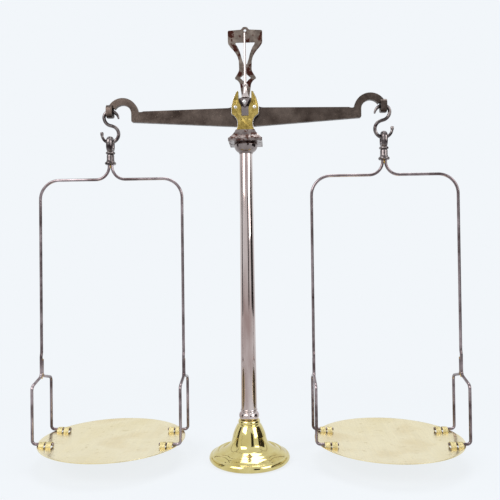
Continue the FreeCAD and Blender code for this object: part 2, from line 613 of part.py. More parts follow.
def swivel_barrel(side, x):
    """Barrel that turns on the eye's shank, closed below by the flange that carries the stirrup."""
    hole = "(shank_radius + shank_gap)"
    turned(f"{side}_swivel_barrel", [
        ("barrel_bore", "-barrel_length"), ("barrel_radius", "-barrel_length"),
        ("barrel_radius", "-barrel_length + 1.2"), ("barrel_radius - 0.5", "-barrel_length + 2.2"),
        ("barrel_radius - 0.5", "-1.4"), ("barrel_radius - 1.2", "0"), (hole, "0"),
        (hole, "-barrel_roof"), ("barrel_bore", "-barrel_roof"),
    ], x=x, z=f"({EYE_Z} + {BARREL_TOP})")
    turned(f"{side}_swivel_flange", [
        ("0", "0"), ("flange_radius - 1.2", "0", "2.2"), ("flange_radius - 0.6", "flange_thick - 0.8"),
        ("flange_radius - 1.6", "flange_thick"), ("0", "flange_thick"),
    ], x=x, z=STIRRUP_Z)


def stirrup(side, sign, x):
    """Two bent wires down from the flange, each with a second wire brazed on to make a fork."""
    radius = size("wire / 2")
    beside = size("(wire + wire_gap) / 2")
    reach, drop = size("pan_radius"), size("shoulder_drop")
    fork_top = size(f"fork_top - {STIRRUP_Z}")
    braze_top = fork_top + size("braze_length")
    toe = size(f"{TOE_Z} - {STIRRUP_Z}")
    spread, slope = size("fork_half"), size("fork_slope")
    bend, toe_bend = size("fork_bend"), size("toe_bend")
    toe_end = reach - size("toe_length")
    for name, way in (("outer", sign), ("inner", -sign)):
        def at(out, y, z):
            return FreeCAD.Vector(way * out, y, z)

        leg = [at(reach, -spread, fork_top - slope), at(reach, -spread, toe), at(toe_end, -spread, toe)]
        main = [
            at(beside, 0, 0), at(beside, 0, -drop), at(reach, 0, -drop),
            at(reach, 0, braze_top + 3 * radius), at(reach, -beside, braze_top),
            at(reach, -beside, fork_top),
        ]
        bends = [size("root_bend"), size("shoulder_bend"), 12, 12, bend, bend, toe_bend]
        formed(f"{side}_{name}_stirrup_wire", bent_wire(main + leg, bends, radius), x=x, z=STIRRUP_Z)
        other = [at(reach, beside, braze_top - 2 * radius), at(reach, beside, fork_top)]
        other += [FreeCAD.Vector(p.x, -p.y, p.z) for p in leg]
        formed(f"{side}_{name}_fork_wire", bent_wire(other, [bend, bend, toe_bend], radius),
               x=x, z=STIRRUP_Z)


def pan(side, x):
    """Dished sheet pan with eight lanced bridges that hold the fork wires' toes."""
    body = doc.addObject("PartDesign::Body", f"{side}_pan")
    curve = "(pan_radius ^ 2 + pan_dish ^ 2) / (2 * pan_dish)"
    section = sketch_on(body, f"{side}_pan_section", "XZ_Plane", [[
        ("0", "0", curve), ("pan_radius", "pan_dish"), ("pan_radius", "pan_dish + pan_sheet", f"-{curve}"),
        ("0", "pan_sheet"),
    ]])
    turning = body.newObject("PartDesign::Revolution", f"{side}_pan_turning")
    turning.Profile = section
    turning.ReferenceAxis = (section, ["V_Axis"])
    windows = []
    places = [(side_x, number) for side_x in ("-", "") for number in (0, 1)]
    for side_x, number in places:
        place = f"(pan_radius - bridge_inset - {number} * bridge_pitch)"
        foot_z = f"(pan_dish * ({place} ^ 2 + fork_half ^ 2) / pan_radius ^ 2 + pan_sheet / 2)"
        rise = f"(pan_dish + pan_sheet + wire_gap + wire + bridge_gap - {foot_z})"
        inner = f"(({BRIDGE_HALF} ^ 2 + {rise} ^ 2) / (2 * {rise}))"
        over, wide = f"({rise} + bridge_thick)", f"({BRIDGE_HALF} + bridge_thick)"
        outer = f"(({wide} ^ 2 + {over} ^ 2) / (2 * {over}))"
        arches = []
        for side_y in ("-1", "1"):
            middle = f"{side_y} * fork_half"
            arches.append([
                (f"{middle} - {wide}", foot_z), (f"{middle} - {BRIDGE_HALF}", foot_z, f"-{inner}"),
                (f"{middle} + {BRIDGE_HALF}", foot_z), (f"{middle} + {wide}", foot_z, outer),
            ])
            centre = f"{side_x}{place}"
            windows.append([
                (f"{centre} - bridge_wide / 2 - 0.2", f"{middle} - {BRIDGE_HALF}"),
                (f"{centre} + bridge_wide / 2 + 0.2", f"{middle} - {BRIDGE_HALF}"),
                (f"{centre} + bridge_wide / 2 + 0.2", f"{middle} + {BRIDGE_HALF}"),
                (f"{centre} - bridge_wide / 2 - 0.2", f"{middle} + {BRIDGE_HALF}"),
            ])
        tag = ("inner" if side_x else "outer") + str(number)
        face = sketch_on(body, f"{side}_bridges_{tag}", "YZ_Plane", arches, offset=f"{side_x}{place}")
        pad(body, face, "bridge_wide")
    openings = sketch_on(body, f"{side}_pan_windows", "XY_Plane", windows, offset="pan_dish / 2")
    pocket(body, openings, "pan_dish + 2 * pan_sheet")
    keep(body, f"{side}_pan", x=x, z="pan_clearance")


def build():
    foot()
    foot_fixings()
    rods()
    column()
    yoke()
    cheeks()
    index_frame()
    beam()
    knives()
    pointer()
    for side, sign in (("left", -1), ("right", 1)):
        x = f"{sign} * arm_length"
        formed(f"{side}_s_hook", hook_shape(sign), x=x, z=HOOK_Z)
        swivel_eye(side, x)
        swivel_barrel(side, x)
        stirrup(side, sign, x)
        pan(side, x)
    doc.recompute()


def check_and_export():
    """Stop on a failed object or a bad shape, then write each sub-part's own file."""
    for thing in doc.Objects:
        if {"Invalid", "Error"} & set(thing.State):
            raise RuntimeError(f"{thing.Name} failed: {thing.State}")
    for part in subparts:
        if part.Shape.isNull() or not part.Shape.isValid() or not part.Shape.Solids:
            raise RuntimeError(f"{part.Label} has no valid solid")
    os.makedirs("parts", exist_ok=True)
    for part in subparts:
        part.Shape.exportStep(f"parts/{part.Label}.step")
        print(f"{part.Label}: {len(part.Shape.Solids)} solid, {part.Shape.Volume:.0f} mm3")


build()
check_and_export()
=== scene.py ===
import json
import math

import bmesh
import bpy
from mathutils import Matrix, Vector


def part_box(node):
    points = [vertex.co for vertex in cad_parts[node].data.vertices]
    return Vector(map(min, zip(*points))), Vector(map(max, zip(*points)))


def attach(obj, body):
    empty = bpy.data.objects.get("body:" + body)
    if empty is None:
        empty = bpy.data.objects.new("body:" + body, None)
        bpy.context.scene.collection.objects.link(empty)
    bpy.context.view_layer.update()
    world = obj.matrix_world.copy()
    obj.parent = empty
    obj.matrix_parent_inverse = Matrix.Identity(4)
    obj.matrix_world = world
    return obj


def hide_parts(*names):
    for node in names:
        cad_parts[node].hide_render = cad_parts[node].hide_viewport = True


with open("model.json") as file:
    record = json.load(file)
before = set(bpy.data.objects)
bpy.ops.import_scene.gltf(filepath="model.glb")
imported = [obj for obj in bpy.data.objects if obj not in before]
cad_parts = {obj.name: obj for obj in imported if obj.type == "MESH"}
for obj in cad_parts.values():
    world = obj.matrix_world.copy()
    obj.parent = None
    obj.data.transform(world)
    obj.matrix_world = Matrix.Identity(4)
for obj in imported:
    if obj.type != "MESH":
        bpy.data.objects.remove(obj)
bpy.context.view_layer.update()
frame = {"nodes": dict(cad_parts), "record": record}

MM = 0.001
EDGE_ANGLE = 35          # degrees past which an edge counts as sharp
FLAT_ANGLE = 0.5         # degrees under which two faces count as one
WIRE_HALF = 0.002        # half the thickness of a stirrup wire, in metres
HOOK_HALF = 0.0024       # half the thickness of an S-hook, in metres
PALE = "#f2f6fa"         # the studio that shows behind the scale
nodes = frame["nodes"]


# ---------------------------------------------------------------- materials

def linear(colour):
    """sRGB hex to linear RGBA."""
    channels = [int(colour[i:i + 2], 16) / 255 for i in (1, 3, 5)]
    return [c / 12.92 if c <= 0.04045 else ((c + 0.055) / 1.055) ** 2.4 for c in channels] + [1.0]


def add(tree, kind, settings=None, **links):
    """Add a node, set its properties, inputs and colour stops, and link sockets to its inputs."""
    node = tree.nodes.new(kind)
    for name, value in (settings or {}).items():
        if name == "stops":
            elements = node.color_ramp.elements
            while len(elements) < len(value):
                elements.new(0.5)
            for element, (position, colour) in zip(elements, value):
                element.position = position
                element.color = linear(colour)
        elif isinstance(name, int) or name in node.inputs:
            node.inputs[name].default_value = value
        else:
            setattr(node, name, value)
    for name, socket in links.items():
        slot = int(name[1:]) if name[0] == "i" and name[1:].isdigit() else name.replace("_", " ")
        tree.links.new(socket, node.inputs[slot])
    return node


EVEN = (1, 1, 1)


def worn_metal(name, rough, tone, stops, lines=None, patch=None, polish=None, relief=None):
    """A metal with a cloud of tones, patches of another colour, an uneven polish and a fine relief.

    A pattern is (blotch in mm, detail, stretch, shift), and one number alone is specks that far apart.
    The tone's pattern runs through the stops. lines and polish are (low, high, pattern, start, end),
    patch has its colour first, and relief is (depth in mm, strength, pattern).
    """
    material = bpy.data.materials.new(name)
    material.use_nodes = True
    tree = material.node_tree
    shader = next(n for n in tree.nodes if n.type == "BSDF_PRINCIPLED")
    shader.inputs["Metallic"].default_value = 1.0
    shader.inputs["Roughness"].default_value = rough
    at = add(tree, "ShaderNodeTexCoord").outputs["Object"]
    made = {}

    def pattern(numbers):
        """The noise or specks that the numbers stand for, made once."""
        size, *rest = numbers
        if numbers not in made and rest:
            detail, stretch, shift = rest + [EVEN, 0.0][len(rest) - 1:]
            place = add(tree, "ShaderNodeMapping", {"Scale": stretch, "Location": (shift,) * 3},
                        Vector=at)
            made[numbers] = add(tree, "ShaderNodeTexNoise", {"Scale": 1 / (size * MM), "Detail": detail},
                                Vector=place.outputs["Vector"]).outputs["Fac"]
        elif numbers not in made:
            made[numbers] = add(tree, "ShaderNodeTexVoronoi", {"Scale": 1 / (size * MM)},
                                Vector=at).outputs["Distance"]
        return made[numbers]

    def stretched(low, high, numbers, start=0.35, end=0.65):
        """A pattern whose values from start to end run from low to high."""
        ends = {"From Min": start, "From Max": end, "To Min": low, "To Max": high}
        return add(tree, "ShaderNodeMapRange", ends, Value=pattern(numbers)).outputs["Result"]

    colour = add(tree, "ShaderNodeValToRGB", {"stops": stops}, Fac=pattern(tone)).outputs["Color"]
    if lines:
        settings = {"data_type": "RGBA", "blend_type": "MULTIPLY", "Factor": 1.0}
        colour = add(tree, "ShaderNodeMix", settings, i6=colour, i7=stretched(*lines)).outputs[2]
    if patch:
        colour = add(tree, "ShaderNodeMix", {"data_type": "RGBA", 7: linear(patch[0])},
                     i0=stretched(*patch[1:]), i6=colour).outputs[2]
    tree.links.new(colour, shader.inputs["Base Color"])
    if polish:
        tree.links.new(stretched(*polish), shader.inputs["Roughness"])
    if relief:
        depth, strength, numbers = relief
        dents = add(tree, "ShaderNodeBump", {"Strength": strength, "Distance": depth * MM},
                    Height=pattern(numbers))
        tree.links.new(dents.outputs["Normal"], shader.inputs["Normal"])
    return material


def polished_steel(name, dark, light, rough):
    """Bright turned steel, hand polished lengthwise, with a warm purplish bloom."""
    return worn_metal(name, rough, (18, 5, (1, 1, 0.12)), ((0.32, dark), (0.68, light)),
                      patch=("#6d5348", 0.0, 0.5, (2.2, 3, EVEN, 8.4), 0.68, 0.76),
                      polish=(rough * 0.7, rough * 1.5, (3, 4, (1, 1, 0.1))),
                      relief=(0.02, 0.5, (5, 2, (1, 1, 0.06))))


def browned_steel(name, dark, light, blotch_mm, rough, depth):
    """Old forged steel: brown oxide, rubbed grey where it is handled, small pits and specks."""
    return worn_metal(name, rough, (blotch_mm, 6), ((0.34, dark), (0.66, light)),
                      patch=("#b7a592", 0.0, 0.45, (1.6, 2, EVEN, 5.3), 0.7, 0.78),
                      polish=(rough * 0.75, rough * 1.35, (4, 5)), relief=(depth, 0.6, (1.8, 4)))


# Cast yellow brass, turned and hand polished: mirror bright, pale where it is worn most.
FOOT_BRASS = worn_metal(
    "polished_foot_brass", 0.08, (26, 4), ((0.3, "#c9b46c"), (0.55, "#dacb8c"), (0.8, "#b9a058")),
    polish=(0.05, 0.12, (6, 4, (1, 1, 0.35))), relief=(0.004, 0.4, (1.2, 2, (0.02, 0.02, 1))))

# Thin sheet brass gone olive gold, dented and nicked, rubbed brighter in places.
PLATE_BRASS = worn_metal(
    "satin_plate_brass", 0.42, (6, 6), ((0.3, "#826d36"), (0.5, "#9d8748"), (0.72, "#b29d5e")),
    patch=("#4e3d1c", 1.0, 0.0, (5.5,), 0.05, 0.16), polish=(0.32, 0.55, (3, 4)),
    relief=(0.22, 0.8, (2.4, 3)))

# Rolled sheet brass, pale and worn smooth, with fine straight rubbing lines along it.
RUBBED = (1.1, 2, (1.0, 0.015, 0.015))
PAN_BRASS = worn_metal(
    "brushed_pan_brass", 0.3, (70, 3), ((0.3, "#ead9a8"), (0.55, "#f1e3ba"), (0.8, "#e2cc98")),
    lines=(0.97, 1.02, RUBBED), patch=("#b79d5c", 0.0, 0.35, (9, 5, EVEN, 4.2), 0.62, 0.72),
    polish=(0.2, 0.27, RUBBED), relief=(0.004, 0.3, RUBBED))

# The pan's own sheet where it was lanced and bowed, in a duller, darker copy of the pan's brass: painted
# shade that tones down the lamps' glare on the bows.
BRIDGE_PAINTED_SHADE_BRASS = worn_metal("bridge_brass_painted_shade", 0.6, (3, 4), ((0.35, "#b7a97a"), (0.65, "#d2c598")),
                          relief=(0.02, 0.5, (1.4, 2)))

COLUMN_STEEL = polished_steel("polished_steel", "#9f8984", "#dacfcb", 0.08)
# The capital's steel is a darker copy of the column's: painted dark reflection, standing for the dark
# that its cup would mirror.
CAPITAL_PAINTED_REFLECTION_STEEL = polished_steel("capital_steel_painted_reflection", "#6b5f5c", "#a79d9a", 0.08)
BRIGHT_STEEL = polished_steel("bright_steel", "#a8a4a2", "#dedcda", 0.2)
BEARING_STEEL = polished_steel("bearing_steel", "#5f5554", "#8c8280", 0.24)

# Forged steel, filed and polished, brown rust left along the lower edges of the moulding.
YOKE_RUST = (0.49, 0.57)
YOKE_PATCHES = (5, 6, EVEN, 3.1)
YOKE_STEEL = worn_metal(
    "yoke_steel", 0.22, (9, 5), ((0.35, "#6a5e5b"), (0.65, "#988c88")),
    patch=("#4a2f28", 0.0, 1.0, YOKE_PATCHES, *YOKE_RUST), polish=(0.2, 0.5, YOKE_PATCHES, *YOKE_RUST),
    relief=(0.15, 0.5, (3.5, 4)))

BEAM_STEEL = browned_steel("beam_steel", "#3b312c", "#62564f", 26, 0.34, 0.012)
HOOK_STEEL = browned_steel("hook_steel", "#33292a", "#8b8280", 8, 0.2, 0.02)
WIRE_STEEL = browned_steel("wire_steel", "#5a4c4c", "#a09294", 20, 0.16, 0.006)

# Sheet steel, dull grey brown, with dark red rust that spreads from the upper corners.
INDEX_RUST = (0.53, 0.6)
INDEX_PATCHES = (9, 6, EVEN, 1.7)
INDEX_STEEL = worn_metal(
    "index_steel", 0.42, (8, 6), ((0.33, "#61564f"), (0.68, "#857970")),
    patch=("#43251f", 0.0, 1.0, INDEX_PATCHES, *INDEX_RUST),
    polish=(0.36, 0.7, INDEX_PATCHES, *INDEX_RUST), relief=(0.08, 0.6, (1.2, 4)))

# Brazing brass as it froze: lumpy, yellow, scaled darker at the edges.
BRAZE = worn_metal("braze_brass", 0.3, (2, 4), ((0.35, "#8a6a2c"), (0.62, "#dcb65a")),
                   relief=(0.15, 0.7, (1.0, 2)))


# ---------------------------------------------------------------- mesh helpers

def body_of_node(name):
    """The body that holds a CAD node."""
    bodies = frame["record"]["behaviour"]["bodies"]
    return next(body for body, members in bodies.items() if name in members)


def finish(piece, material, node):
    """Give a piece its material and its body, and let it stand for its CAD node."""
    if not piece.data.materials:
        piece.data.materials.append(material)
    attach(piece, body_of_node(node))
    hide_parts(node)


def from_bmesh(name, mesh, smooth_angle=EDGE_ANGLE):
    """Turn a bmesh into an object with outward normals, smooth but for its sharp edges."""
    bmesh.ops.remove_doubles(mesh, verts=mesh.verts, dist=1e-6)
    bmesh.ops.recalc_face_normals(mesh, faces=mesh.faces)
    data = bpy.data.meshes.new(name)
    mesh.to_mesh(data)
    mesh.free()
    data.shade_smooth()
    data.set_sharp_from_angle(angle=math.radians(smooth_angle))
    piece = bpy.data.objects.new(name, data)
    bpy.context.scene.collection.objects.link(piece)
    return piece


def baked(piece):
    """Replace a piece by the plain mesh that its modifiers give."""
    bpy.context.view_layer.update()
    graph = bpy.context.evaluated_depsgraph_get()
    data = bpy.data.meshes.new_from_object(piece.evaluated_get(graph))
    name = piece.name
    bpy.data.objects.remove(piece)
    data.name = name
    plain = bpy.data.objects.new(name, data)
    bpy.context.scene.collection.objects.link(plain)
    return plain


def bevelled(piece, width_mm):
    """Round the sharp edges of a piece by that many millimetres."""
    bevel = piece.modifiers.new("edges", "BEVEL")
    bevel.width = width_mm * MM
    bevel.segments = 2
    bevel.limit_method = "ANGLE"
    bevel.angle_limit = math.radians(EDGE_ANGLE)
    bevel.harden_normals = True
    return baked(piece)


def node_copy(node, name, bevel_mm):
    """A merged, smooth-shaded copy of a CAD node, its edges eased."""
    mesh = bmesh.new()
    mesh.from_mesh(nodes[node].data)
    bmesh.ops.remove_doubles(mesh, verts=mesh.verts, dist=2e-6)
    bmesh.ops.dissolve_limit(mesh, angle_limit=math.radians(FLAT_ANGLE), verts=mesh.verts,
                             edges=mesh.edges)
    data = bpy.data.meshes.new(name)
    mesh.to_mesh(data)
    mesh.free()
    data.shade_smooth()
    data.set_sharp_from_angle(angle=math.radians(32))
    piece = bpy.data.objects.new(name, data)
    bpy.context.scene.collection.objects.link(piece)
    return bevelled(piece, bevel_mm) if bevel_mm else piece


def curve_points(profile, step=0.5):
    """Points along a profile of (r, z) or (r, z, radius) corners in mm; a radius bends the next side."""
    points = []
    for here, following in zip(profile, profile[1:]):
        start, end = Vector(here[:2]), Vector(following[:2])
        points.append(start)
        if len(here) < 3:
            continue
        chord = end - start
        radius = max(abs(here[2]), chord.length / 2)
        rise = math.copysign(radius - math.sqrt(max(radius ** 2 - chord.length ** 2 / 4, 0)), here[2])
        side = Vector((chord.y, -chord.x)).normalized()
        centre = (start + end) / 2 - side * math.copysign(radius - abs(rise), here[2])
        first = math.atan2(start.y - centre.y, start.x - centre.x)
        turn = math.copysign(2 * math.asin(min(chord.length / 2 / radius, 1)), here[2])
        count = max(3, int(abs(turn) * radius / step), int(abs(turn) / 0.12))
        points += [centre + radius * Vector((math.cos(first + turn * k / count),
                                             math.sin(first + turn * k / count)))
                   for k in range(1, count)]
    points.append(Vector(profile[-1][:2]))
    return points


def softened(points, radius):
    """Cut each sharp corner of a row of points to a small round of three points."""
    result = []
    count = len(points)
    for index, point in enumerate(points):
        if index in (0, count - 1):
            result.append(point)
            continue
        before, after = points[index - 1], points[index + 1]
        arriving, leaving = point - before, after - point
        if arriving.length < 1e-9 or leaving.length < 1e-9 or arriving.angle(leaving) < 0.3:
            result.append(point)
            continue
        cut = min(radius, arriving.length * 0.4, leaving.length * 0.4)
        begin, end = point - arriving.normalized() * cut, point + leaving.normalized() * cut
        result += [begin, (begin + end) / 4 + point / 2, end]
    return result


def lathe(name, profile, centre, turns=128, soft=0.35):
    """A turned piece: a profile of (r, z) in mm, from low to high, about a vertical axis."""
    points = softened(curve_points(profile), soft)
    mesh = bmesh.new()
    rings = []
    for point in points:
        if point.x < 1e-6:
            rings.append([mesh.verts.new((centre[0], centre[1], centre[2] + point.y * MM))])
            continue
        ring = []
        for k in range(turns):
            angle = 2 * math.pi * k / turns
            x, y = point.x * MM * math.cos(angle), point.x * MM * math.sin(angle)
            ring.append(mesh.verts.new((centre[0] + x, centre[1] + y, centre[2] + point.y * MM)))
        rings.append(ring)
    for low, high in zip(rings, rings[1:]):
        for k in range(turns):
            after = (k + 1) % turns
            corners = [low[k % len(low)], low[after % len(low)],
                       high[after % len(high)], high[k % len(high)]]
            corners = list(dict.fromkeys(corners))
            if len(corners) > 2:
                mesh.faces.new(corners)
    return from_bmesh(name, mesh, 40)


# ---------------------------------------------------------------- geometry node trees

def new_tree(name, **numbers):
    """A geometry node tree with a geometry input, a material input and named numbers."""
    tree = bpy.data.node_groups.new(name, "GeometryNodeTree")
    tree.interface.new_socket("Geometry", in_out="INPUT", socket_type="NodeSocketGeometry")
    tree.interface.new_socket("Material", in_out="INPUT", socket_type="NodeSocketMaterial")
    for label, value in numbers.items():
        kind = "NodeSocketInt" if isinstance(value, int) else "NodeSocketFloat"
        socket = tree.interface.new_socket(label, in_out="INPUT", socket_type=kind)
        socket.default_value = value
    tree.interface.new_socket("Geometry", in_out="OUTPUT", socket_type="NodeSocketGeometry")
    return tree, add(tree, "NodeGroupInput").outputs


def close_tree(tree, geometry, given):
    """End a tree in Realize Instances and Set Material."""
    real = add(tree, "GeometryNodeRealizeInstances", Geometry=geometry)
    painted = add(tree, "GeometryNodeSetMaterial", Geometry=real.outputs[0], Material=given["Material"])
    add(tree, "NodeGroupOutput", Geometry=painted.outputs[0])
    return tree


def wire_tree():
    """A round wire along a curve; the curve's own radius thins or swells it."""
    tree, given = new_tree("wire_along_path", Radius=0.002, Sides=20)
    ring = add(tree, "GeometryNodeCurvePrimitiveCircle", Resolution=given["Sides"],
               Radius=given["Radius"])
    tube = add(tree, "GeometryNodeCurveToMesh", {"Fill Caps": True}, Curve=given["Geometry"],
               Profile_Curve=ring.outputs[0])
    if "Scale" in tube.inputs:
        radius = add(tree, "GeometryNodeInputRadius")
        tree.links.new(radius.outputs[0], tube.inputs["Scale"])
    smooth = add(tree, "GeometryNodeSetShadeSmooth", Geometry=tube.outputs[0])
    return close_tree(tree, smooth.outputs[0], given)


def rivet_tree():
    """A low domed rivet head at each vertex, flat along Y."""
    tree, given = new_tree("rivet_heads", Radius=0.0024)
    dome = add(tree, "GeometryNodeMeshUVSphere", {"Segments": 32, "Rings": 16}, Radius=given["Radius"])
    points = add(tree, "GeometryNodeMeshToPoints", Mesh=given["Geometry"])
    flat = add(tree, "ShaderNodeCombineXYZ", {"X": 1.0, "Y": 0.42, "Z": 1.0})
    placed = add(tree, "GeometryNodeInstanceOnPoints", Points=points.outputs[0],
                 Instance=dome.outputs[0], Scale=flat.outputs[0])
    smooth = add(tree, "GeometryNodeSetShadeSmooth", Geometry=placed.outputs[0])
    return close_tree(tree, smooth.outputs[0], given)


WIRE_TREE = wire_tree()
RIVET_TREE = rivet_tree()


def grown(carrier, tree, material, **numbers):
    """Put a geometry node tree on a carrier and bake it to a plain mesh."""
    growth = carrier.modifiers.new("growth", "NODES")
    growth.node_group = tree
    keys = {item.name: item.identifier for item in tree.interface.items_tree if item.in_out == "INPUT"}
    growth[keys["Material"]] = material
    for label, value in numbers.items():
        growth[keys[label]] = value
    return baked(carrier)


def path_curve(name, points, radii=None):
    """A curve through points in metres, with the radius factor of each point."""
    data = bpy.data.curves.new(name, "CURVE")
    data.dimensions = "3D"
    spline = data.splines.new("POLY")
    spline.points.add(len(points) - 1)
    for index, point in enumerate(points):
        spline.points[index].co = (*point, 1)
        spline.points[index].radius = radii[index] if radii else 1.0
    piece = bpy.data.objects.new(name, data)
    bpy.context.scene.collection.objects.link(piece)
    return piece


def rounded_path(corners, bends, step=0.0012):
    """Points of straight runs with a tangent bend at each inner corner, in metres."""
    points = [corners[0]]
    for before, corner, after, bend in zip(corners, corners[1:], corners[2:], bends):
        arriving, leaving = (corner - before).normalized(), (after - corner).normalized()
        turn = arriving.angle(leaving)
        setback = bend * math.tan(turn / 2)
        begin = corner - arriving * setback
        inward = (leaving - arriving).normalized()
        centre = corner + inward * (bend / math.cos(turn / 2))
        count = max(4, int(bend * turn / step))
        first, axis = begin - centre, arriving.cross(leaving).normalized()
        points += [centre + Matrix.Rotation(turn * k / count, 3, axis) @ first for k in range(count + 1)]
    points.append(corners[-1])
    spaced = [points[0]]
    for point in points[1:]:
        gap = (point - spaced[-1]).length
        parts = max(1, int(gap / 0.006))
        start = spaced[-1]
        spaced += [start.lerp(point, (k + 1) / parts) for k in range(parts)]
    return spaced


# ---------------------------------------------------------------- stand

def turned_stand():
    """Foot, bead, column and capital as turned pieces with eased edges."""
    low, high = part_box("foot")
    r, top = high.x / MM, high.z / MM
    rim, neck, bell = 10.0, 14.4, 25.0
    core = 5                # the turned pieces start from this radius, round the rod inside
    foot = lathe("turned_foot", [
        (r - 9.5, 4.0), (r - 9.5, 0.3), (r - 5.2, 0.0, 6.2), (r, rim / 2, 6.2), (r - 2.6, rim),
        (r - 4.6, rim + 0.1), (r - 5.6, rim + 1.4, 28), (r - 11.5, rim + 5.2),
        (r - 12.3, rim + 4.1, 30), (r - 18.5, rim + 7.6), (r - 19.4, rim + 6.6, -22),
        (bell, top - 30.5, -60), (bell - 2.4, top - 21, 70), (neck + 2.2, top - 7),
        (neck + 0.5, top - 6.3), (neck, top - 5.2, 4), (neck - 0.6, top), (core, top),
    ], (0, 0, 0), 192)
    finish(foot, FOOT_BRASS, "foot")
    for node, profile, name, steel in (
            ("base_bead", [(core, 0), (11.0, 0, 6.6), (11.5, 10.5, -1.4), (10.9, 11.9, 1.7), (11.0, 14.5),
                           (core, 14.5)], "base_bead_turned", COLUMN_STEEL),
            # the capital takes the darker steel: painted dark reflection
            ("capital", [(core, 0), (9.3, 0, -5), (10.2, 2.2, 11), (16.4, 11.9, 5), (15.6, 14.3),
                         (core, 14.3)], "capital_turned", CAPITAL_PAINTED_REFLECTION_STEEL)):
        finish(lathe(name, profile, (0, 0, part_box(node)[0].z), 128), steel, node)
    low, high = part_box("column")
    height = (high.z - low.z) / MM
    wide = high.x / MM
    narrow = 8.9
    shaft = lathe("tapered_column", [(core, 0), (wide, 0), (narrow, height), (core, height)],
                  (0, 0, low.z), 192)
    finish(shaft, COLUMN_STEEL, "column")


def plates():
    """Yoke, cheeks, index frame, bearings, knives and beam: eased copies of the exact pieces."""
    for node, material, ease in (
            ("yoke", YOKE_STEEL, 0.5), ("front_cheek_arm", BRIGHT_STEEL, 0.7),
            ("rear_cheek_arm", BRIGHT_STEEL, 0.7),
            ("index_frame", INDEX_STEEL, 0.35), ("beam", BEAM_STEEL, 0.6),
            ("centre_knife", BEARING_STEEL, 0.15), ("left_end_knife", BRIGHT_STEEL, 0.1),
            ("right_end_knife", BRIGHT_STEEL, 0.1), ("front_bearing", BEARING_STEEL, 0.2),
            ("rear_bearing", BEARING_STEEL, 0.2)):
        finish(node_copy(node, node + "_eased", ease), material, node)
    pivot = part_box("centre_knife")[0].z
    pitted_plate(pivot)
    # a lump of bright steel on the knife's front face: painted highlight
    painted_highlight_spot(pivot)


def cut_away(piece, mesh):
    """Cut a bmesh of closed tools out of a piece."""
    cutter = from_bmesh("cutter", mesh)
    cut = piece.modifiers.new("cut", "BOOLEAN")
    cut.operation = "DIFFERENCE"
    cut.object = cutter
    piece = baked(piece)
    bpy.data.objects.remove(cutter)
    return piece


def pitted_plate(pivot):
    """The brass face plate with the pits that years of taps left in its horns."""
    node = "front_cheek_plate"
    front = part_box(node)[0].y
    pits = bmesh.new()
    for x, rise, radius in ((-13.4, 10.8, 1.3), (-13.0, 5.6, 1.0), (-14.3, 8.0, 0.7), (12.6, 12.2, 1.4),
                            (13.6, 8.4, 1.1), (11.4, 15.2, 0.7), (3.2, -15.5, 0.6), (-4.4, -17.8, 0.5)):
        ball = bmesh.ops.create_icosphere(pits, subdivisions=2, radius=radius * MM)["verts"]
        bmesh.ops.translate(pits, vec=(x * MM, front - 0.4 * radius * MM, pivot + rise * MM), verts=ball)
    finish(cut_away(node_copy(node, node + "_eased", 0.35), pits), PLATE_BRASS, node)


def painted_highlight_spot(pivot):
    """Bright oval on the knife's front face, a thin lump of bright steel: a painted highlight."""
    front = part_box("centre_knife")[0].y
    mesh = bmesh.new()
    blob(mesh, (-0.0006, front + 0.0001, pivot + 0.0078), (2.3, 0.4, 2.9), 0.7)
    spot = from_bmesh("knife_planished_spot", mesh)
    spot.data.materials.append(BRIGHT_STEEL)
    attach(spot, body_of_node("centre_knife"))


def rivets():
    """Domed rivet heads on both faces of each cheek."""
    for side in ("front", "rear"):
        node = f"{side}_cheek_rivets"
        low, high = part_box(node)
        carrier = bpy.data.meshes.new(f"{side}_rivet_places")
        z = (low.z + high.z) / 2
        inset, sunk = 0.0026, 0.0011
        places = [(sign * (high.x - inset), y, z) for sign in (-1, 1)
                  for y in (low.y + sunk, high.y - sunk)]
        carrier.from_pydata(places, [], [])
        piece = bpy.data.objects.new(f"{side}_rivet_heads", carrier)
        bpy.context.scene.collection.objects.link(piece)
        heads = grown(piece, RIVET_TREE, BRIGHT_STEEL, Radius=0.0025)
        finish(heads, BRIGHT_STEEL, node)


def pointer():
    """Needle with a flared, polished root."""
    low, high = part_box("pointer")
    base = low.z + 0.003
    length = (high.z - base) / MM
    needle = lathe("needle_pointer", [
        (2, -3), (2, 0), (5.6, 0), (6, 0.8, -26), (2.6, 17), (3.2, 17.8, 1.2), (3.2, 19.8), (1.9, 20.4),
        (1.2, length - 1), (0, length),
    ], (0, 0, base), 48, 0.2)
    finish(needle, COLUMN_STEEL, "pointer")


# ---------------------------------------------------------------- hanging parts

def hook_path(top, outward):
    """Centreline of an S-hook from its inner mouth to its outer tail."""
    slope = math.radians(15)
    s, c = math.sin(slope), math.cos(slope)
    upper, lower, mouth, height = 8.6, 11.8, 12.05, 44.1
    across, down = lower * s + upper, height - lower * (1 + c) - upper
    scale = (1 - s) * s - c * c
    waist = (across * s - down * c) / scale

    def arc(x, z, radius, first, last, count):
        angles = [math.radians(first + (last - first) * k / count) for k in range(count + 1)]
        return [(x + radius * math.cos(a), z + radius * math.sin(a)) for a in angles]

    flat = arc(0, -mouth, mouth, 175, 92, 14) + arc(0, -upper, upper, 90, 4, 14)
    flat += arc(upper - waist, -upper, waist, 0, -75, 12)
    flat += arc(0, lower - height, lower, 105, 360, 36)
    flat += [(lower, lower - height + 1.5), (lower, lower - height + 3.0)]
    return [Vector((top.x + outward * x * MM, top.y, top.z + z * MM)) for x, z in flat]


